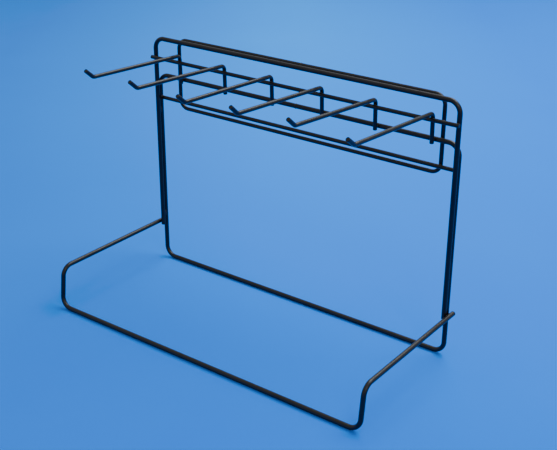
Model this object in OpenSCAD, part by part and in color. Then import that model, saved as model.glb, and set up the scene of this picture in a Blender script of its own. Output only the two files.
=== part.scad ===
// Counter-top display rack bent and welded from round wire: a tall hoop on a closed back loop,
// a low U-shaped base in front of it, a sign frame behind it and a row of six product hooks.
// The rack stands on z = 0, its width runs along X and its hooks point towards -Y.

/* [Wire] */
// Wire diameter of the hoop, the back loop and the base
frame_wire = 6; // [4:0.5:8]
// Wire diameter of the rails, the hooks and the sign frame
rail_wire = 5; // [3:0.5:6]
// Chamfer on every cut wire end
end_chamfer = 0.4; // [0.2:0.1:0.8]

/* [Upper hoop and back loop] */
// Width over the two legs of the upper hoop
frame_w = 450; // [400:1:700]
// Height from the floor to the top of the upper hoop
frame_h = 322; // [300:1:420]
// Height of the hoop's top over the back loop's top
loop_drop = 50.5; // [42:0.5:100]
// Length of the hoop's legs below the middle of the base's arms
leg_tail = 4; // [3:0.5:12]
// Centreline radius of the bends in the frame wire
frame_bend_r = 14; // [10:1:24]

/* [Base] */
// Distance from the hoop's plane forward to the front rail's centreline
base_reach = 189.5; // [180:0.5:260]
// Height of the side arms' centreline
arm_z = 56; // [46:1:80]
// Length of the arms behind the hoop's plane
arm_tail = 12; // [10:1:14]
// Forward lean of the base's two front uprights, in degrees
upright_lean = 7; // [0:1:12]

/* [Rails] */
// Height of the hook rail over the back loop's top rail
hook_rail_rise = 25.5; // [20:0.5:30]
// Depth of the lower rail under the back loop's top rail
lower_rail_drop = 31.5; // [24:0.5:80]

/* [Sign frame] */
// Width over the sign frame
sign_w = 394; // [300:1:396]
// Depth of the sign frame's bottom rail under the lower rail
sign_foot = 10; // [8:0.5:60]
// Centreline radius of the sign frame's corners
sign_bend_r = 12; // [8:1:20]
// Distance of the sign frame's middle to the right of the rack's middle
sign_shift = 3; // [-4:0.5:4]

/* [Hooks] */
// Distance from one hook to the next
hook_pitch = 74; // [50:1:76]
// Distance of the middle of the hook row to the right of the rack's middle
hook_row_shift = 4.8; // [0:0.1:8]
// Length of a hook's shank between the corners of its axis
shank_l = 157.5; // [100:0.5:170]
// Upward slope of a hook's shank, in degrees
shank_rise = 3.6; // [1:0.1:8]
// Length of the upturned tip beyond the corner of its axis
tip_l = 15.5; // [12:0.5:30]
// Upward slope of the tip, in degrees
tip_rise = 41; // [30:1:60]
// Air between the hook rail and the shank above it
hook_gap = 3; // [2.5:0.5:5]
// Length of a hook's drop below the centreline of the rail it is welded to
hook_tail = 4; // [3:0.5:10]
// Centreline radius of the two bends in a hook
hook_bend_r = 6; // [5:0.5:10]

/* [Welds] */
// Radius of the weld around two crossing wires
cross_weld_r = 2.4; // [1.6:0.1:2.8]
// Radius of the bead that fills the groove between two parallel wires
seam_weld_r = 1.5; // [1:0.1:1.8]
// Length of such a bead
seam_weld_l = 9; // [6:1:16]
// Height of the ring of flash around a butt weld
flash_h = 0.45; // [0.2:0.05:0.8]

/* [Hidden] */
$fn = 48;

coat = [0.07, 0.07, 0.08];
coat_thin = [0.16, 0.15, 0.14];

// Number of hooks, each of them a node of its own
HOOKS = 6;

// Wire radii
frame_r = frame_wire / 2;
rail_r = rail_wire / 2;

// The hooks are bent and set by hand, so no two are quite alike. What each one, from left to right,
// adds to the slope of the shank, to its length, to the air above the hook rail and to the tip's slope.
HOOK_SET = [[-0.6, -5, 0, 0], [-0.2, -1.5, 0, 0], [-0.8, 1, 0, 0],
            [0, 1, 0, 1], [0.8, 0, 0, -1], [0, 2.5, -1.5, -4]];

// How much a bend thins the wire's radius, and how far it runs into the straights beside it
bend_thinning = 0.02;
bend_lap = 0.1;
// Radius of the core where pressed wires meet, and the roundness of the ring of a butt weld
weld_core_r = 0.3;
flash_r = 1.2;
// Radius of the collar at a rail's butted end, and the distance of a seam's middle from the next joint
tee_weld_r = rail_r + 1.1;
seam_inset = seam_weld_l / 2 + 12;

// Depths measured from the hoop's plane, each wire lying against the next
loop_dy = frame_wire;
hook_rail_dy = -(frame_r + rail_r);
lower_rail_dy = loop_dy + frame_r - rail_r;
sign_dy = loop_dy + frame_r + rail_r;

// The origin is in the middle of the rack's depth
rack_front_dy = -(base_reach + frame_r);
rack_back_dy = max(sign_dy + rail_r + flash_h, arm_tail);
hoop_y = -(rack_front_dy + rack_back_dy) / 2;

// Centrelines
leg_x = frame_w / 2 - frame_r;
arm_x = leg_x + frame_wire;
hoop_top_z = frame_h - frame_r;
leg_end_z = arm_z - leg_tail;
loop_top_z = hoop_top_z - loop_drop;
floor_rail_z = frame_r;
hook_rail_z = loop_top_z + hook_rail_rise;
lower_rail_z = loop_top_z - lower_rail_drop;
sign_x = sign_w / 2 - rail_r;
sign_low_z = lower_rail_z - sign_foot;

// The drop of a hook passes behind the hook rail and in front of the back loop's top rail and
// touches both: its axis is the inner tangent line of two circles around those rails' axes.
rails_dy = loop_dy - hook_rail_dy;
rails_apart = norm([rails_dy, hook_rail_rise]);
touch_top = 2 * rail_r;
touch_low = rail_r + frame_r;
drop_lean = atan(rails_dy / hook_rail_rise) - asin((touch_top + touch_low) / rails_apart);
drop_low = sqrt(pow(rails_apart, 2) - pow(touch_top + touch_low, 2));

function hook_x(i) = hook_row_shift + (i - (HOOKS - 1) / 2) * hook_pitch;

// ---- wire ----

// An arc of wire that leaves the origin along +Z and turns towards +X. A bend draws the wire out:
// it is a touch thinner than the straights and runs a little way into both of them.
module wire_bend(wire, bend_r, turn) {
    lap = asin(bend_lap / bend_r);
    translate([bend_r, 0, 0]) rotate([90, 0, 180]) rotate([0, 0, -lap])
        rotate_extrude(angle = turn + 2 * lap) translate([bend_r, 0]) circle(d = wire - 2 * bend_thinning);
}

// A straight wire from the origin along +Z, chamfered where it is cut
module wire_run(wire, length, cut_start = false, cut_end = false) {
    low = cut_start ? end_chamfer : 0;
    high = length - (cut_end ? end_chamfer : 0);
    translate([0, 0, low]) cylinder(d = wire, h = high - low);
    if (cut_start) cylinder(d1 = wire - 2 * end_chamfer, d2 = wire, h = end_chamfer);
    if (cut_end) translate([0, 0, high])
        cylinder(d1 = wire, d2 = wire - 2 * end_chamfer, h = end_chamfer);
}

// A bent wire from the origin along +Z. Each step is [straight length, roll, turn]: the wire
// runs straight, rolls about its own axis and turns towards its new +X. The last has no bend.
module bent_wire(wire, bend_r, steps, closed = false, i = 0) {
    last = i == len(steps) - 1;
    wire_run(wire, steps[i][0], cut_start = i == 0 && !closed, cut_end = last && !closed);
    if (!last) translate([0, 0, steps[i][0]]) rotate([0, 0, steps[i][1]]) {
        wire_bend(wire, bend_r, steps[i][2]);
        translate([bend_r, 0, 0]) rotate([0, steps[i][2], 0]) translate([-bend_r, 0, 0])
            bent_wire(wire, bend_r, steps, closed, i + 1);
    }
}

// A closed rectangle of wire in the XZ plane that starts and ends in the middle of its upper rail
module wire_rectangle(wire, bend_r, half_w, low_z, high_z) {
    flat = half_w - bend_r;
    side = high_z - low_z - 2 * bend_r;
    translate([0, 0, high_z]) rotate([0, 90, 0])
        bent_wire(wire, bend_r, [[flat, 0, 90], [side, 0, 90], [2 * flat, 0, 90], [side, 0, 90], [flat]],
                  closed = true);
}

// A straight rail along X between two cut ends
module cross_rail(wire, half_w) {
    translate([-half_w, 0, 0]) rotate([0, 90, 0])
        wire_run(wire, 2 * half_w, cut_start = true, cut_end = true);
}

// ---- frame ----

module upper_hoop() {
    leg = hoop_top_z - frame_bend_r - leg_end_z;
    color(coat) translate([-leg_x, hoop_y, leg_end_z])
        bent_wire(frame_wire, frame_bend_r, [[leg, 0, 90], [2 * (leg_x - frame_bend_r), 0, 90], [leg]]);
}

module back_loop() {
    color(coat) translate([0, hoop_y + loop_dy, 0])
        wire_rectangle(frame_wire, frame_bend_r, leg_x, floor_rail_z, loop_top_z);
}

module base_wire() {
    // Each bend takes its own tangent length off the corners of the wire's axis
    shoulder_turn = 90 - upright_lean;
    shoulder_cut = frame_bend_r * tan(shoulder_turn / 2);
    upright = (arm_z - floor_rail_z) / cos(upright_lean);
    shoulder_reach = base_reach - (arm_z - floor_rail_z) * tan(upright_lean);
    arm = arm_tail + shoulder_reach - shoulder_cut;
    post = upright - shoulder_cut - frame_bend_r;
    front = 2 * (arm_x - frame_bend_r);
    color(coat) translate([-arm_x, hoop_y + arm_tail, arm_z]) rotate([90, 0, 0])
        bent_wire(frame_wire, frame_bend_r,
                  [[arm, -90, shoulder_turn], [post, 90, 90], [front, 0, 90],
                   [post, -90, shoulder_turn], [arm]]);
}

// ---- rails and sign frame ----

module hook_rail() {
    color(coat) translate([0, hoop_y + hook_rail_dy, hook_rail_z]) cross_rail(rail_wire, frame_w / 2);
}

module lower_rail() {
    color(coat) translate([0, hoop_y + lower_rail_dy, lower_rail_z]) cross_rail(rail_wire, leg_x - frame_r);
}

module sign_frame() {
    color(coat) translate([sign_shift, hoop_y + sign_dy, 0])
        wire_rectangle(rail_wire, sign_bend_r, sign_x, sign_low_z, hoop_top_z);
}

// ---- hooks ----

// Moves its children to where a hook's drop touches the hook rail, with Z up along the drop
module at_drop(i) {
    translate([hook_x(i), hoop_y + hook_rail_dy, hook_rail_z]) rotate([drop_lean, 0, 0])
        translate([0, touch_top, 0]) children();
}

module hook(i) {
    rise = shank_rise + HOOK_SET[i][0];
    slope = rise + drop_lean;
    air = hook_gap + HOOK_SET[i][2];
    corner_z = (touch_top + air - touch_top * sin(slope)) / cos(slope);
    drop_turn = 90 - slope;
    tip_turn = tip_rise + HOOK_SET[i][3] - rise;
    drop_cut = hook_bend_r * tan(drop_turn / 2);
    tip_cut = hook_bend_r * tan(tip_turn / 2);
    tail = drop_low + hook_tail;
    color(coat) at_drop(i) translate([0, 0, -tail])
        bent_wire(rail_wire, hook_bend_r,
                  [[tail + corner_z - drop_cut, -90, drop_turn],
                   [shank_l + HOOK_SET[i][1] - drop_cut - tip_cut, 180, tip_turn],
                   [tip_l - tip_cut]]);
}

// ---- welds ----

// A collar of weld around the origin, where a wire along X in front touches one along Z behind.
// A thin core is left out along the line between the wires, where they are pressed together.
module cross_weld(front_r, back_r) {
    reach = 3 * cross_weld_r;
    color(coat_thin) difference() {
        difference() {
            difference() {
                rotate([90, 0, 0]) sphere(r = cross_weld_r);
                rotate([90, 0, 0]) cylinder(r = weld_core_r, h = reach, center = true);
            }
            translate([0, -front_r, 0]) rotate([0, 90, 0]) cylinder(r = front_r, h = reach, center = true);
        }
        translate([0, back_r, 0]) cylinder(r = back_r, h = reach, center = true);
    }
}

// A bead of weld along Z, tapered at its ends, in the groove beside two frame wires that touch
module seam_weld() {
    reach = 2 * seam_weld_l;
    straight = seam_weld_l - 2 * seam_weld_r;
    color(coat_thin) difference() {
        difference() {
            translate([seam_weld_r + weld_core_r, 0, 0]) for (up = [0, 1]) mirror([0, 0, up]) {
                cylinder(r = seam_weld_r, h = straight / 2);
                translate([0, 0, straight / 2])
                    cylinder(r1 = seam_weld_r, r2 = seam_weld_r / 3, h = seam_weld_r);
            }
            translate([0, -frame_r, 0]) cylinder(r = frame_r, h = reach, center = true);
        }
        translate([0, frame_r, 0]) cylinder(r = frame_r, h = reach, center = true);
    }
}

// A collar of weld at the origin, where a rail that comes along +X butts against a frame wire along Z
module tee_weld(rail_shift) {
    reach = 3 * tee_weld_r;
    color(coat_thin) difference() {
        difference() {
            difference() {
                rotate([0, 90, 0]) sphere(r = tee_weld_r);
                rotate([0, 90, 0]) cylinder(r = rail_r, h = reach, center = true);
            }
            translate([frame_r, -rail_shift, 0]) cylinder(r = frame_r, h = reach, center = true);
        }
        // The hoop's leg, which the collar reaches when the rail is thick
        translate([frame_r, -rail_shift - loop_dy, 0]) cylinder(r = frame_r, h = reach, center = true);
    }
}

// A low ring of flash around a wire along X
module butt_weld(wire_r) {
    color(coat_thin) rotate([0, 90, 0]) rotate_extrude() difference() {
        translate([wire_r + flash_h - flash_r, 0]) circle(r = flash_r);
        translate([0, -flash_r]) square([wire_r, 2 * flash_r]);
    }
}

// Repeats its children on the left and, mirrored, on the right
module both_sides() {
    children();
    mirror([1, 0, 0]) children();
}

// The hoop's legs against the back loop's uprights, in the grooves on their inner sides
module leg_seam_welds() {
    both_sides() for (z = [leg_end_z + seam_inset, lower_rail_z - seam_inset])
        translate([-leg_x, hoop_y + frame_r, z]) seam_weld();
}

// The base's arms against the hoop's legs and the back loop's uprights
module arm_welds() {
    both_sides() for (dy = [0, loop_dy])
        translate([-leg_x - frame_r, hoop_y + dy, arm_z]) rotate([0, 0, -90]) cross_weld(frame_r, frame_r);
}

module hook_rail_end_welds() {
    both_sides() translate([-leg_x, hoop_y - frame_r, hook_rail_z]) cross_weld(rail_r, frame_r);
}

module lower_rail_end_welds() {
    both_sides() translate([leg_x - frame_r, hoop_y + lower_rail_dy, lower_rail_z])
        tee_weld(lower_rail_dy - loop_dy);
}

module hook_top_welds() {
    for (i = [0 : HOOKS - 1]) at_drop(i) translate([0, -rail_r, 0]) cross_weld(rail_r, rail_r);
}

module hook_bottom_welds() {
    for (i = [0 : HOOKS - 1]) at_drop(i) translate([0, rail_r, -drop_low])
        rotate([0, 0, 180]) cross_weld(frame_r, rail_r);
}

module sign_frame_upper_welds() {
    for (x = [-sign_x, sign_x]) translate([sign_shift + x, hoop_y + sign_dy - rail_r, loop_top_z])
        cross_weld(frame_r, rail_r);
}

module sign_frame_lower_welds() {
    for (x = [-sign_x, sign_x]) translate([sign_shift + x, hoop_y + sign_dy - rail_r, lower_rail_z])
        cross_weld(rail_r, rail_r);
}

module loop_butt_weld() {
    translate([0, hoop_y + loop_dy, loop_top_z]) butt_weld(frame_r);
}

module sign_frame_butt_weld() {
    translate([sign_shift, hoop_y + sign_dy, hoop_top_z]) butt_weld(rail_r);
}

upper_hoop();
back_loop();
base_wire();
hook_rail();
lower_rail();
sign_frame();
hook(0);  // hook_1
hook(1);  // hook_2
hook(2);  // hook_3
hook(3);  // hook_4
hook(4);  // hook_5
hook(5);  // hook_6
leg_seam_welds();
arm_welds();
hook_rail_end_welds();
lower_rail_end_welds();
hook_top_welds();
hook_bottom_welds();
sign_frame_upper_welds();
sign_frame_lower_welds();
loop_butt_weld();
sign_frame_butt_weld();
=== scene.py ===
import math

import bmesh
import bpy
from mathutils import Matrix, Vector, noise as lump_noise


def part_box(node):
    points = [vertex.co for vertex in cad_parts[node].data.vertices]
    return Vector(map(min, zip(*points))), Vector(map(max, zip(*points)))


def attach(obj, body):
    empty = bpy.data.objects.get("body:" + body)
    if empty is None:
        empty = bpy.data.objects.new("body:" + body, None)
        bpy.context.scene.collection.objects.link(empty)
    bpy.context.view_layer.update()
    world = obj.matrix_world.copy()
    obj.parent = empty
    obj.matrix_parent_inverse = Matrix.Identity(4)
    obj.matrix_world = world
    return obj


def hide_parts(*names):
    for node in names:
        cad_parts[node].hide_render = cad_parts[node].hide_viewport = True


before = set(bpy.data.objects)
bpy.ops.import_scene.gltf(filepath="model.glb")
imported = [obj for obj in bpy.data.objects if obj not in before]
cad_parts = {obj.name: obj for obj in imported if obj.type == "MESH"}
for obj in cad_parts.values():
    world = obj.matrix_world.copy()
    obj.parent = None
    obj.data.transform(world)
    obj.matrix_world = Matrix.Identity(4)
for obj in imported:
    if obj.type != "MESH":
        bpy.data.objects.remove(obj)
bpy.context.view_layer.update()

MM = 0.001
AXIS_X, AXIS_Y, AXIS_Z = Vector((1, 0, 0)), Vector((0, 1, 0)), Vector((0, 0, 1))

# ---- sizes that the frame's boxes don't give, in metres and degrees ----

FRAME_BEND_R = 14 * MM
SIGN_BEND_R = 12 * MM
HOOK_BEND_R = 6 * MM
UPRIGHT_LEAN = 7.0
TIP_L = 15.5 * MM
# Every hook was set one by one: the slope and length of its shank, the air over the hook rail and its tip's
# slope
HOOK_SETS = ((3.0, 152.5 * MM, 3.0 * MM, 41), (3.4, 156.0 * MM, 3.0 * MM, 41), (2.8, 158.5 * MM, 3.0 * MM, 41),
             (3.6, 158.5 * MM, 3.0 * MM, 42), (4.4, 157.5 * MM, 3.0 * MM, 40), (3.6, 160.0 * MM, 1.5 * MM, 37))
CROSS_WELD_R = 2.2 * MM
SEAM_WELD_L = 9 * MM

# ---- how finely the meshes are made ----

SIDES = 40
BEND_STEP = 4.0
STRAIGHT_STEP = 6 * MM


def middle(node):
    """The middle of a CAD node's box."""
    low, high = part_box(node)
    return (Vector(low) + Vector(high)) / 2


hoop_low, hoop_high = (Vector(c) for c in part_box("upper_hoop"))
loop_low, loop_high = (Vector(c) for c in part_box("back_loop"))
base_low, base_high = (Vector(c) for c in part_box("base_wire"))
sign_low, sign_high = (Vector(c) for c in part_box("sign_frame"))
rail_low, rail_high = (Vector(c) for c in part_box("hook_rail"))
lower_low, lower_high = (Vector(c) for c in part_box("lower_rail"))

FRAME_R = (hoop_high.y - hoop_low.y) / 2
RAIL_R = (rail_high.z - rail_low.z) / 2
HOOP_Y = middle("upper_hoop").y
LOOP_Y = middle("back_loop").y
SIGN_Y = middle("sign_frame").y
LEG_X = hoop_high.x - FRAME_R
HOOP_TOP_Z = hoop_high.z - FRAME_R
LOOP_TOP_Z = loop_high.z - FRAME_R
FLOOR_RAIL_Z = loop_low.z + FRAME_R
ARM_X = base_high.x - FRAME_R
ARM_Z = base_high.z - FRAME_R
FRONT_Y = base_low.y + FRAME_R
SIGN_MIDDLE_X = middle("sign_frame").x
SIGN_X = sign_high.x - RAIL_R - SIGN_MIDDLE_X
HOOK_RAIL = middle("hook_rail")
LOWER_RAIL = middle("lower_rail")


# ---- camera ----

def make_camera():
    """The viewpoint above the rack's right front corner."""
    azimuth, elevation, roll = math.radians(36.51), math.radians(24.68), math.radians(0.31)
    back = Vector((math.sin(azimuth) * math.cos(elevation),
                   -math.cos(azimuth) * math.cos(elevation), math.sin(elevation)))
    data = bpy.data.cameras.new("camera")
    data.lens = 68.15
    data.sensor_width = 36
    data.clip_start, data.clip_end = 0.05, 50
    camera = bpy.data.objects.new("camera", data)
    camera.location = Vector((0.7103, HOOP_Y - 0.9880, 0.6710))
    turn = (-back).to_track_quat("-Z", "Y").to_matrix() @ Matrix.Rotation(roll, 3, "Z")
    camera.rotation_euler = turn.to_euler()
    bpy.context.collection.objects.link(camera)
    bpy.context.scene.camera = camera


make_camera()


# ---- wire as a swept mesh ----

class Station:
    """A place along a wire: where it is, its turned axes and how strongly it is bent about which side."""

    def __init__(self, place, heading, side, inward=None, bend=0.0):
        self.place = place.copy()
        self.heading = heading.copy()
        self.side = side.copy()
        self.inward = inward.copy() if inward else side.copy()
        self.bend = bend


def wire_stations(start, heading, side, bend_r, steps):
    """Stations along a bent wire. Each step is (straight length, roll, turn), as the CAD has them: the
    wire runs straight, rolls about its own axis and turns towards its new side. The last has no bend."""
    place, heading, side = start.copy(), heading.normalized(), side.normalized()
    ring_side = side.copy()
    stations = [Station(place, heading, ring_side)]
    for step in steps:
        pieces = max(1, math.ceil(step[0] / STRAIGHT_STEP))
        for k in range(1, pieces + 1):
            stations.append(Station(place + heading * step[0] * k / pieces, heading, ring_side))
        place = place + heading * step[0]
        if len(step) == 1:
            continue
        side = Matrix.Rotation(math.radians(step[1]), 3, heading) @ side
        axis = heading.cross(side)
        centre = place + side * bend_r
        pieces = math.ceil(step[2] / BEND_STEP)
        for k in range(1, pieces + 1):
            turn = Matrix.Rotation(math.radians(step[2] * k / pieces), 3, axis)
            # A wire is fullest bent in the middle of its arc
            bend = math.sin(math.pi * k / pieces) ** 0.5 if k < pieces else 0.0
            stations.append(Station(centre + turn @ (place - centre), turn @ heading,
                                    turn @ ring_side, turn @ side, bend))
        turn = Matrix.Rotation(math.radians(step[2]), 3, axis)
        place, heading = centre + turn @ (place - centre), turn @ heading
        side, ring_side = turn @ side, turn @ ring_side
    return stations


def end_stations(stations):
    """Adds the close rings that round a cut end, and gives each ring the radius taken off it there."""
    cut = ((0.0, 0.55), (0.03, 0.33), (0.11, 0.16), (0.26, 0.05), (0.5, 0.0), (1.2, -0.03), (2.6, 0.0))
    first, last = stations[0], stations[-1]
    rings = [(Station(first.place + first.heading * at * MM, first.heading, first.side), take * MM)
             for at, take in cut]
    rings += [(s, 0.0) for s in stations[1:-1]]
    rings += [(Station(last.place - last.heading * at * MM, last.heading, last.side), take * MM)
              for at, take in reversed(cut)]
    return rings


def ring_points(station, radius):
    """One ring of the wire. A bend flattens it a little on the inside and spreads it sideways."""
    across = station.heading.cross(station.side)
    points = []
    for k in range(SIDES):
        angle = 2 * math.pi * k / SIDES
        out = station.side * math.cos(angle) + across * math.sin(angle)
        inner = out.dot(station.inward)
        squash = 1 - station.bend * (0.035 * inner * inner + 0.02 * max(0.0, inner))
        points.append(station.place + out * radius * squash)
    return points


def new_mesh_object(name, build):
    """An object whose mesh build(bm) makes, shaded smooth."""
    bm = bmesh.new()
    build(bm)
    bmesh.ops.recalc_face_normals(bm, faces=bm.faces)
    mesh = bpy.data.meshes.new(name)
    bm.to_mesh(mesh)
    bm.free()
    mesh.shade_smooth()
    piece = bpy.data.objects.new(name, mesh)
    bpy.context.collection.objects.link(piece)
    return piece


def bridge(bm, low, high):
    """Quads between two rings of the same count."""
    for k in range(len(low)):
        m = (k + 1) % len(low)
        bm.faces.new((low[k], low[m], high[m], high[k]))


def cap(bm, ring, dish):
    """Closes a ring with a fan around a middle point that is set in by dish."""
    centre = bm.verts.new(sum((v.co for v in ring), Vector()) / len(ring) + dish)
    for k in range(len(ring)):
        bm.faces.new((ring[k], ring[(k + 1) % len(ring)], centre))


def wire(name, stations, radius, closed=False):
    """A coated wire along stations: a closed loop of it, or a length with two rounded cut ends."""
    def build(bm):
        if closed:
            rings = [[bm.verts.new(p) for p in ring_points(s, radius)] for s in stations[:-1]]
        else:
            rings = [[bm.verts.new(p) for p in ring_points(s, radius - take)]
                     for s, take in end_stations(stations)]
        for low, high in zip(rings, rings[1:]):
            bridge(bm, low, high)
        if closed:
            bridge(bm, rings[-1], rings[0])
        else:
            cap(bm, rings[0], stations[0].heading * 0.05 * MM)
            cap(bm, rings[-1], -stations[-1].heading * 0.05 * MM)
    return new_mesh_object(name, build)


def finish_piece(piece, material, node):
    """Gives a piece its material and its place in the frame."""
    piece.data.materials.clear()
    piece.data.materials.append(material)
    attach(piece, "root")
    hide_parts(node)


# ---- materials ----

def math_node(nodes, links, operation, a, b=None):
    """A Math node on two values, each a socket or a number."""
    node = nodes.new("ShaderNodeMath")
    node.operation = operation
    for socket, value in zip(node.inputs, (a, b)):
        if value is None:
            continue
        if isinstance(value, (int, float)):
            socket.default_value = value
        else:
            links.new(value, socket)
    return node.outputs[0]


def noise(nodes, links, where, scale, detail=3.0, roughness=0.55):
    """A noise value over the object's own coordinates, scale in features per metre."""
    node = nodes.new("ShaderNodeTexNoise")
    node.inputs["Scale"].default_value = scale
    node.inputs["Detail"].default_value = detail
    node.inputs["Roughness"].default_value = roughness
    links.new(where, node.inputs["Vector"])
    return node.outputs["Fac"]


def spread(nodes, links, value, low, high, out_low, out_high):
    """Maps value from low..high to out_low..out_high, clamped."""
    node = nodes.new("ShaderNodeMapRange")
    node.inputs["From Min"].default_value = low
    node.inputs["From Max"].default_value = high
    node.inputs["To Min"].default_value = out_low
    node.inputs["To Max"].default_value = out_high
    links.new(value, node.inputs["Value"])
    return node.outputs["Result"]


def mix_colour(nodes, links, factor, a, b):
    """Mixes two colours, each a socket or an (r, g, b)."""
    node = nodes.new("ShaderNodeMix")
    node.data_type = "RGBA"
    links.new(factor, node.inputs["Factor"])
    for socket, value in ((node.inputs["A"], a), (node.inputs["B"], b)):
        if isinstance(value, tuple):
            socket.default_value = (*value, 1)
        else:
            links.new(value, socket)
    return node.outputs["Result"]


def coated_wire(name, wear_and_sheen=0.0, dust_and_sheen=0.25, thin=0.0, lumps=0.0):
    """Black dip coating on steel wire: orange peel, cloudy gloss, dust with a painted top highlight on what
    faces up, rubbed patches with a painted top highlight where wear is over 0, brown showing through where thin
    is over 0, and coarse lumps on welds."""
    material = bpy.data.materials.new(name)
    material.use_nodes = True
    nodes, links = material.node_tree.nodes, material.node_tree.links
    shader = nodes["Principled BSDF"]
    where = nodes.new("ShaderNodeTexCoord").outputs["Object"]
    facing = nodes.new("ShaderNodeSeparateXYZ")
    links.new(nodes.new("ShaderNodeNewGeometry").outputs["Normal"], facing.inputs[0])
    up = facing.outputs["Z"]

    clouds = noise(nodes, links, where, 60, 4)
    peel = noise(nodes, links, where, 900, 2)
    grains = noise(nodes, links, where, 5200, 2)
    patches = noise(nodes, links, where, 210, 5, 0.65)

    colour = mix_colour(nodes, links, spread(nodes, links, clouds, 0.3, 0.7, 0, 1),
                        (0.0035, 0.0035, 0.0042), (0.0070, 0.0068, 0.0078))
    if thin:
        showing = spread(nodes, links, patches, 0.5 - 0.15 * thin, 0.72, 0, 0.8 * thin)
        colour = mix_colour(nodes, links, showing, colour, (0.060, 0.036, 0.022))
    top = spread(nodes, links, up, 0.35, 1.0, 0, 1)
    # Dust and painted highlight: a grey mask on top-facing surfaces, partly settled dust and partly a painted
    # top highlight; it also roughens them.
    dust_and_sheen_mask = math_node(nodes, links, "MULTIPLY", top,
                        spread(nodes, links, patches, 0.35, 0.75, 0.25 * dust_and_sheen, dust_and_sheen))
    colour = mix_colour(nodes, links, dust_and_sheen_mask, colour, (0.10, 0.098, 0.095))
    if wear_and_sheen:
        # Rubbed wear and painted highlight: lighter grey patches only on the upward-facing tops, partly rubbed
        # wear and partly a painted top highlight.
        rubbed_and_sheen = math_node(nodes, links, "MULTIPLY", spread(nodes, links, up, 0.8, 0.98, 0, 1),
                           spread(nodes, links, patches, 0.66 - 0.12 * wear_and_sheen, 0.74, 0, 0.85))
        colour = mix_colour(nodes, links, rubbed_and_sheen, colour, (0.055, 0.052, 0.050))
    links.new(colour, shader.inputs["Base Color"])

    gloss = spread(nodes, links, clouds, 0.3, 0.7, 0.27, 0.36)
    gloss = math_node(nodes, links, "ADD", gloss, spread(nodes, links, grains, 0.35, 0.7, -0.03, 0.06))
    gloss = math_node(nodes, links, "ADD", gloss, math_node(nodes, links, "MULTIPLY", dust_and_sheen_mask, 0.5))
    links.new(gloss, shader.inputs["Roughness"])

    height = math_node(nodes, links, "ADD", peel, math_node(nodes, links, "MULTIPLY", grains, 0.25))
    if lumps:
        coarse = noise(nodes, links, where, 420, 3)
        height = math_node(nodes, links, "ADD", height, math_node(nodes, links, "MULTIPLY", coarse, 4 * lumps))
    bump = nodes.new("ShaderNodeBump")
    bump.inputs["Strength"].default_value = 0.6
    bump.inputs["Distance"].default_value = 0.035 * MM
    links.new(height, bump.inputs["Height"])
    links.new(bump.outputs["Normal"], shader.inputs["Normal"])
    shader.inputs["Metallic"].default_value = 0
    shader.inputs["IOR"].default_value = 1.5
    shader.inputs["Specular IOR Level"].default_value = 0.34
    return material


# The dust and wear amounts below also set how much painted top highlight each wire gets.
FRAME_COAT = coated_wire("frame_coat", dust_and_sheen=0.06)
BASE_COAT = coated_wire("base_coat", wear_and_sheen=0.15, dust_and_sheen=0.07)
RAIL_COAT = coated_wire("rail_coat", dust_and_sheen=0.05)
HOOK_COAT = coated_wire("hook_coat", wear_and_sheen=0.2, dust_and_sheen=0.04)
WELD_COAT = coated_wire("weld_coat", dust_and_sheen=0.10, thin=0.55, lumps=1.0)


# ---- frame wires ----

def make_upper_hoop():
    """The inverted U: up one leg, across the top and down the other."""
    leg = HOOP_TOP_Z - FRAME_BEND_R - hoop_low.z
    across = 2 * (LEG_X - FRAME_BEND_R)
    stations = wire_stations(Vector((-LEG_X, HOOP_Y, hoop_low.z)), AXIS_Z, AXIS_X, FRAME_BEND_R,
                             [(leg, 0, 90), (across, 0, 90), (leg,)])
    finish_piece(wire("upper_hoop_coated", stations, FRAME_R), FRAME_COAT, "upper_hoop")


def rectangle_stations(middle_x, half_w, y, low_z, high_z, bend_r):
    """A closed upright rectangle of wire, from the middle of its upper rail round to it again."""
    flat, side = half_w - bend_r, high_z - low_z - 2 * bend_r
    return wire_stations(Vector((middle_x, y, high_z)), AXIS_X, -AXIS_Z, bend_r,
                         [(flat, 0, 90), (side, 0, 90), (2 * flat, 0, 90), (side, 0, 90), (flat,)])


def make_back_loop():
    stations = rectangle_stations(0, LEG_X, LOOP_Y, FLOOR_RAIL_Z, LOOP_TOP_Z, FRAME_BEND_R)
    finish_piece(wire("back_loop_coated", stations, FRAME_R, True), FRAME_COAT, "back_loop")


def make_sign_frame():
    stations = rectangle_stations(SIGN_MIDDLE_X, SIGN_X, SIGN_Y, sign_low.z + RAIL_R, sign_high.z - RAIL_R,
                                  SIGN_BEND_R)
    finish_piece(wire("sign_frame_coated", stations, RAIL_R, True), RAIL_COAT, "sign_frame")


def make_base_wire():
    """One arm forward, down a leaning upright, across the floor, up and back along the other arm."""
    turn = 90 - UPRIGHT_LEAN
    lean = math.radians(UPRIGHT_LEAN)
    cut = FRAME_BEND_R * math.tan(math.radians(turn / 2))
    drop = ARM_Z - FLOOR_RAIL_Z
    arm = base_high.y - (FRONT_Y + drop * math.tan(lean)) - cut
    post = drop / math.cos(lean) - cut - FRAME_BEND_R
    front = 2 * (ARM_X - FRAME_BEND_R)
    stations = wire_stations(Vector((-ARM_X, base_high.y, ARM_Z)), -AXIS_Y, AXIS_X, FRAME_BEND_R,
                             [(arm, -90, turn), (post, 90, 90), (front, 0, 90), (post, -90, turn), (arm,)])
    finish_piece(wire("base_wire_coated", stations, FRAME_R), BASE_COAT, "base_wire")


def make_straight_rail(node):
    """A rail along X between its two cut ends."""
    low, high = (Vector(c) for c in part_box(node))
    centre = middle(node)
    stations = wire_stations(Vector((low.x, centre.y, centre.z)), AXIS_X, AXIS_Z, 0, [(high.x - low.x,)])
    finish_piece(wire(node + "_coated", stations, RAIL_R), RAIL_COAT, node)


# ---- hooks ----

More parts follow.
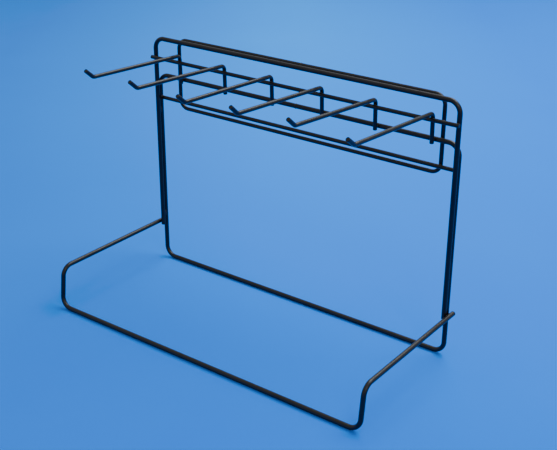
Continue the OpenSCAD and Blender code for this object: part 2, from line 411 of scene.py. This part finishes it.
# In the plane of a hook, its drop's axis is the inner tangent line of two circles around the hook rail
# and the back loop's top rail, so that it touches both.
RAILS_DY = LOOP_Y - HOOK_RAIL.y
RAILS_DZ = HOOK_RAIL.z - LOOP_TOP_Z
TOUCH_TOP = 2 * RAIL_R
TOUCH_LOW = RAIL_R + FRAME_R
DROP_LEAN = math.atan(RAILS_DY / RAILS_DZ) - math.asin((TOUCH_TOP + TOUCH_LOW) / math.hypot(RAILS_DY, RAILS_DZ))
DROP_LOW = math.sqrt(RAILS_DY ** 2 + RAILS_DZ ** 2 - (TOUCH_TOP + TOUCH_LOW) ** 2)
DROP_UP = Vector((0, -math.sin(DROP_LEAN), math.cos(DROP_LEAN)))
DROP_BACK = Vector((0, math.cos(DROP_LEAN), math.sin(DROP_LEAN)))


def drop_origin(x):
    """The point on a drop's axis that is level with the hook rail, square to the drop."""
    return Vector((x, HOOK_RAIL.y, HOOK_RAIL.z)) + DROP_BACK * TOUCH_TOP


def make_hook(number, shank_slope, shank_l, gap, tip_slope):
    """Up the drop, forward along the shank and up the tip."""
    node = f"hook_{number}"
    x = middle(node).x
    slope = math.radians(shank_slope) + DROP_LEAN
    corner = (TOUCH_TOP + gap - TOUCH_TOP * math.sin(slope)) / math.cos(slope)
    drop_turn, tip_turn = 90 - math.degrees(slope), tip_slope - shank_slope
    drop_cut = HOOK_BEND_R * math.tan(math.radians(drop_turn / 2))
    tip_cut = HOOK_BEND_R * math.tan(math.radians(tip_turn / 2))
    # The node's lowest point is the drop's back edge, where its end is chamfered
    tail = (drop_origin(x).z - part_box(node)[0][2]) / DROP_UP.z - RAIL_R * math.sin(DROP_LEAN) * 0.8
    stations = wire_stations(drop_origin(x) - DROP_UP * tail, DROP_UP, AXIS_X, HOOK_BEND_R,
                             [(tail + corner - drop_cut, -90, drop_turn),
                              (shank_l - drop_cut - tip_cut, 180, tip_turn), (TIP_L - tip_cut,)])
    finish_piece(wire(node + "_coated", stations, RAIL_R), HOOK_COAT, node)


make_upper_hoop()
make_back_loop()
make_sign_frame()
make_base_wire()
make_straight_rail("hook_rail")
make_straight_rail("lower_rail")
for number, hook_set in enumerate(HOOK_SETS, 1):
    make_hook(number, *hook_set)


# ---- welds ----

def lump(place, size, seed):
    """A smooth random value of about -1 to 1 that varies over size."""
    return lump_noise.noise(place / size + Vector((seed, seed * 0.37, 0)))


def gap_at(radius, off_axis):
    """How far a round wire's surface has fallen away this far from its axis."""
    off_axis = min(abs(off_axis), radius * 0.995)
    return radius - math.sqrt(radius ** 2 - off_axis ** 2)


def loft(bm, profiles, closed=True):
    """Joins rings of points, each to the next, and closed also joins the last to the first."""
    rings = [[bm.verts.new(p) for p in profile] for profile in profiles]
    for low, high in zip(rings, rings[1:] + rings[:1] if closed else rings[1:]):
        bridge(bm, low, high)
    return rings


def cross_weld(bm, place, along, front_r, back_along, back_r, normal, seed):
    """A concave collar of weld where two crossing wires touch at place. normal runs from the front wire,
    whose axis is along, to the back wire, whose axis is back_along."""
    side = normal.cross(along)
    profiles = []
    for k in range(56):
        angle = 2 * math.pi * k / 56
        out = along * math.cos(angle) + side * math.sin(angle)
        reach = CROSS_WELD_R * (0.93 + 0.07 * lump(out, 0.8, seed))
        row = []
        for step, across in ((0.35, 0.0), (1.10, 0.0), (1.05, 0.02), (0.93, 0.14), (0.84, 0.32), (0.81, 0.5),
                             (0.84, 0.68), (0.93, 0.86), (1.05, 0.98), (1.10, 1.0), (0.35, 1.0)):
            spot = out * reach * step
            front = gap_at(front_r, (spot - along * spot.dot(along)).length)
            back = gap_at(back_r, (spot - back_along * spot.dot(back_along)).length)
            sunk = 0.12 * MM if across in (0.0, 1.0) else 0.0
            height = -front - sunk + (front + back + 2 * sunk) * across
            row.append(place + spot + normal * height)
        profiles.append(row)
    loft(bm, profiles)


def seam_weld(bm, place, out, across, wire_r, length, seed):
    """A rippled tack along Z in the groove between two upright wires that touch. out is away from the line
    where they touch and across runs from one wire to the other."""
    count = 64
    profiles = []
    for k in range(count + 1):
        at = k / count
        z = (at - 0.5) * length * 0.97
        end = math.sin(math.pi * min(max(at, 0.02), 0.98)) ** 0.35
        ripple = 0.5 + 0.5 * math.cos(at * 2 * math.pi * 6.5 + seed)
        depth = (1.15 + 1.25 * end + 0.05 * ripple * end + 0.10 * lump(Vector((z, 0, 0)), 1.6 * MM, seed)) * MM
        bulge = (0.08 + 0.42 * end) * MM
        half = gap_at(wire_r, depth)
        row = [place + AXIS_Z * z + out * 0.35 * MM - across * 0.1 * MM]
        for m in range(13):
            t = m / 12
            sunk = 0.10 * MM if m in (0, 12) else 0.0
            wide = (half + sunk) * (2 * t - 1)
            row.append(place + AXIS_Z * z + out * (depth + bulge * math.sin(math.pi * t)) + across * wide)
        row.append(place + AXIS_Z * z + out * 0.35 * MM + across * 0.1 * MM)
        profiles.append(row)
    rings = loft(bm, profiles, closed=False)
    bm.faces.new(rings[0])
    bm.faces.new(rings[-1])


def tee_weld(bm, place, inward, rail_r, upright_r, shift, seed):
    """A concave collar where a rail's end meets an upright wire. place is on the rail's axis, level with
    the upright's nearest line, inward points along the rail and shift is the rail's offset in Y."""
    profiles = []
    for k in range(56):
        angle = 2 * math.pi * k / 56
        out = AXIS_Y * math.cos(angle) + AXIS_Z * math.sin(angle)
        grow = 1 + 0.10 * lump(out, 0.7, seed)
        row = []
        for t in (0.0, 0.06, 0.2, 0.35, 0.5, 0.65, 0.8, 0.94, 1.0):
            # A quarter of a hollow curve from the rail's side to the upright's face
            up = (1 - math.sin(t * math.pi / 2)) * 1.5 * grow
            foot = (1 - math.cos(t * math.pi / 2)) * 0.92 * grow
            radius = rail_r + foot * MM - (0.10 * MM if t == 0 else 0)
            off = shift + radius * math.cos(angle)
            fallen = gap_at(upright_r, off) + (0.12 * MM if t == 1 else 0)
            row.append(place + out * radius + inward * (up * MM - fallen))
        row.append(place + out * rail_r * 0.8 - inward * upright_r * 0.3)
        profiles.append(row)
    loft(bm, profiles)


def butt_weld(bm, place, wire_r, seed):
    """A low uneven ring of flash around a wire along X."""
    profiles = []
    for k in range(56):
        angle = 2 * math.pi * k / 56
        out = AXIS_Y * math.cos(angle) + AXIS_Z * math.sin(angle)
        height = 0.36 + 0.07 * lump(out, 0.45, seed)
        wander = 0.10 * lump(out, 0.9, seed + 5)
        row = [place + out * (wire_r - 0.2 * MM) - AXIS_X * 0.78 * MM]
        for m in (-1.0, -0.8, -0.55, -0.25, 0.0, 0.25, 0.55, 0.8, 1.0):
            rise = height * (1 - abs(m) ** 2.2) - 0.03
            row.append(place + out * (wire_r + rise * MM) + AXIS_X * (0.78 * m + wander * (1 - abs(m))) * MM)
        row.append(place + out * (wire_r - 0.2 * MM) + AXIS_X * 0.78 * MM)
        profiles.append(row)
    loft(bm, profiles)


def make_welds(node, weld_one, places):
    """One object for a node's welds: weld_one(bm, place, seed) makes the one at each place."""
    def build(bm):
        for number, place in enumerate(places):
            weld_one(bm, place, number * 3.7 + len(node))
    finish_piece(new_mesh_object(node + "_coated", build), WELD_COAT, node)


def to_middle(place):
    """The direction along X from a place towards the rack's middle."""
    return AXIS_X * math.copysign(1, -place.x)


def make_all_welds():
    both = (-1, 1)
    seams = [Vector(c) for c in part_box("leg_seam_welds")]
    seam_z = (seams[0].z + SEAM_WELD_L / 2, seams[1].z - SEAM_WELD_L / 2)
    hook_xs = [middle(f"hook_{number}").x for number in range(1, len(HOOK_SETS) + 1)]
    make_welds("leg_seam_welds",
               lambda bm, p, seed: seam_weld(bm, p, to_middle(p), AXIS_Y, FRAME_R, SEAM_WELD_L, seed),
               [Vector((side * LEG_X, (HOOP_Y + LOOP_Y) / 2, z)) for side in both for z in seam_z])
    make_welds("arm_welds",
               lambda bm, p, seed: cross_weld(bm, p, AXIS_Y, FRAME_R, AXIS_Z, FRAME_R, to_middle(p), seed),
               [Vector((side * (LEG_X + FRAME_R), y, ARM_Z)) for side in both for y in (HOOP_Y, LOOP_Y)])
    make_welds("hook_rail_end_welds",
               lambda bm, p, seed: cross_weld(bm, p, AXIS_X, RAIL_R, AXIS_Z, FRAME_R, AXIS_Y, seed),
               [Vector((side * LEG_X, HOOP_Y - FRAME_R, HOOK_RAIL.z)) for side in both])
    make_welds("lower_rail_end_welds",
               lambda bm, p, seed: tee_weld(bm, p, to_middle(p), RAIL_R, FRAME_R, LOWER_RAIL.y - LOOP_Y, seed),
               [Vector((side * (LEG_X - FRAME_R), LOWER_RAIL.y, LOWER_RAIL.z)) for side in both])
    make_welds("hook_top_welds",
               lambda bm, p, seed: cross_weld(bm, p, AXIS_X, RAIL_R, DROP_UP, RAIL_R, DROP_BACK, seed),
               [drop_origin(x) - DROP_BACK * RAIL_R for x in hook_xs])
    make_welds("hook_bottom_welds",
               lambda bm, p, seed: cross_weld(bm, p, AXIS_X, FRAME_R, DROP_UP, RAIL_R, -DROP_BACK, seed),
               [drop_origin(x) - DROP_UP * DROP_LOW + DROP_BACK * RAIL_R for x in hook_xs])
    make_welds("sign_frame_upper_welds",
               lambda bm, p, seed: cross_weld(bm, p, AXIS_X, FRAME_R, AXIS_Z, RAIL_R, AXIS_Y, seed),
               [Vector((SIGN_MIDDLE_X + side * SIGN_X, SIGN_Y - RAIL_R, LOOP_TOP_Z)) for side in both])
    make_welds("sign_frame_lower_welds",
               lambda bm, p, seed: cross_weld(bm, p, AXIS_X, RAIL_R, AXIS_Z, RAIL_R, AXIS_Y, seed),
               [Vector((SIGN_MIDDLE_X + side * SIGN_X, SIGN_Y - RAIL_R, LOWER_RAIL.z)) for side in both])
    make_welds("loop_butt_weld", lambda bm, p, seed: butt_weld(bm, p, FRAME_R, seed),
               [middle("loop_butt_weld")])
    make_welds("sign_frame_butt_weld", lambda bm, p, seed: butt_weld(bm, p, RAIL_R, seed),
               [middle("sign_frame_butt_weld")])


make_all_welds()

# ---- floor and light ----

def make_floor():
    """A blue backdrop sheet, laid square to the viewpoint, with painted light fall-off: a painted pool of light
    makes it paler far away and painted shade makes it deeper at both sides.
    """
    floor = new_mesh_object("floor", lambda bm: bmesh.ops.create_grid(bm, x_segments=1, y_segments=1, size=8))
    floor.rotation_euler = (0, 0, math.radians(36.5))
    material = bpy.data.materials.new("blue_sheet")
    material.use_nodes = True
    nodes, links = material.node_tree.nodes, material.node_tree.links
    shader = nodes["Principled BSDF"]
    where = nodes.new("ShaderNodeTexCoord").outputs["Object"]
    place = nodes.new("ShaderNodeSeparateXYZ")
    links.new(where, place.inputs[0])
    # Painted light and shade: the blue is lifted far away as painted light and deepened at the left and right
    # sides as painted shade.
    far = spread(nodes, links, place.outputs["Y"], -0.4, 1.4, 0, 1)
    left = spread(nodes, links, place.outputs["X"], 0.0, -0.6, 0, 0.8)
    right = spread(nodes, links, place.outputs["X"], 0.1, 0.6, 0, 0.8)
    mottle = spread(nodes, links, noise(nodes, links, where, 3, 3), 0.3, 0.7, 0, 0.25)
    colour = mix_colour(nodes, links, far, (0.004, 0.160, 0.82), (0.008, 0.29, 0.98))
    colour = mix_colour(nodes, links, left, colour, (0.010, 0.16, 0.68))
    colour = mix_colour(nodes, links, right, colour, (0.000, 0.17, 0.82))
    colour = mix_colour(nodes, links, mottle, colour, (0.008, 0.23, 0.90))
    links.new(colour, shader.inputs["Base Color"])
    shader.inputs["Roughness"].default_value = 0.8
    shader.inputs["Specular IOR Level"].default_value = 0.06
    floor.data.materials.append(material)


def area_light(name, place, aim, size, power, colour=(1, 1, 1)):
    data = bpy.data.lights.new(name, "AREA")
    data.shape = "RECTANGLE"
    data.size, data.size_y = size
    data.energy = power
    data.color = colour
    light = bpy.data.objects.new(name, data)
    light.location = place
    light.rotation_euler = (Vector(aim) - Vector(place)).to_track_quat("-Z", "Y").to_euler()
    bpy.context.collection.objects.link(light)


def make_light():
    world = bpy.data.worlds.new("studio")
    world.use_nodes = True
    world.node_tree.nodes["Background"].inputs["Color"].default_value = (0.93, 0.96, 1.0, 1)
    world.node_tree.nodes["Background"].inputs["Strength"].default_value = 0.62
    bpy.context.scene.world = world
    area_light("overhead_softbox", (0.3, 1.3, 2.1), (0.0, 0.8, 0.0), (2.2, 1.4), 70)
    area_light("right_softbox", (1.8, -1.3, 1.9), (0, 0, 0.15), (0.8, 0.8), 13, (1.0, 0.98, 0.95))


make_floor()
make_light()
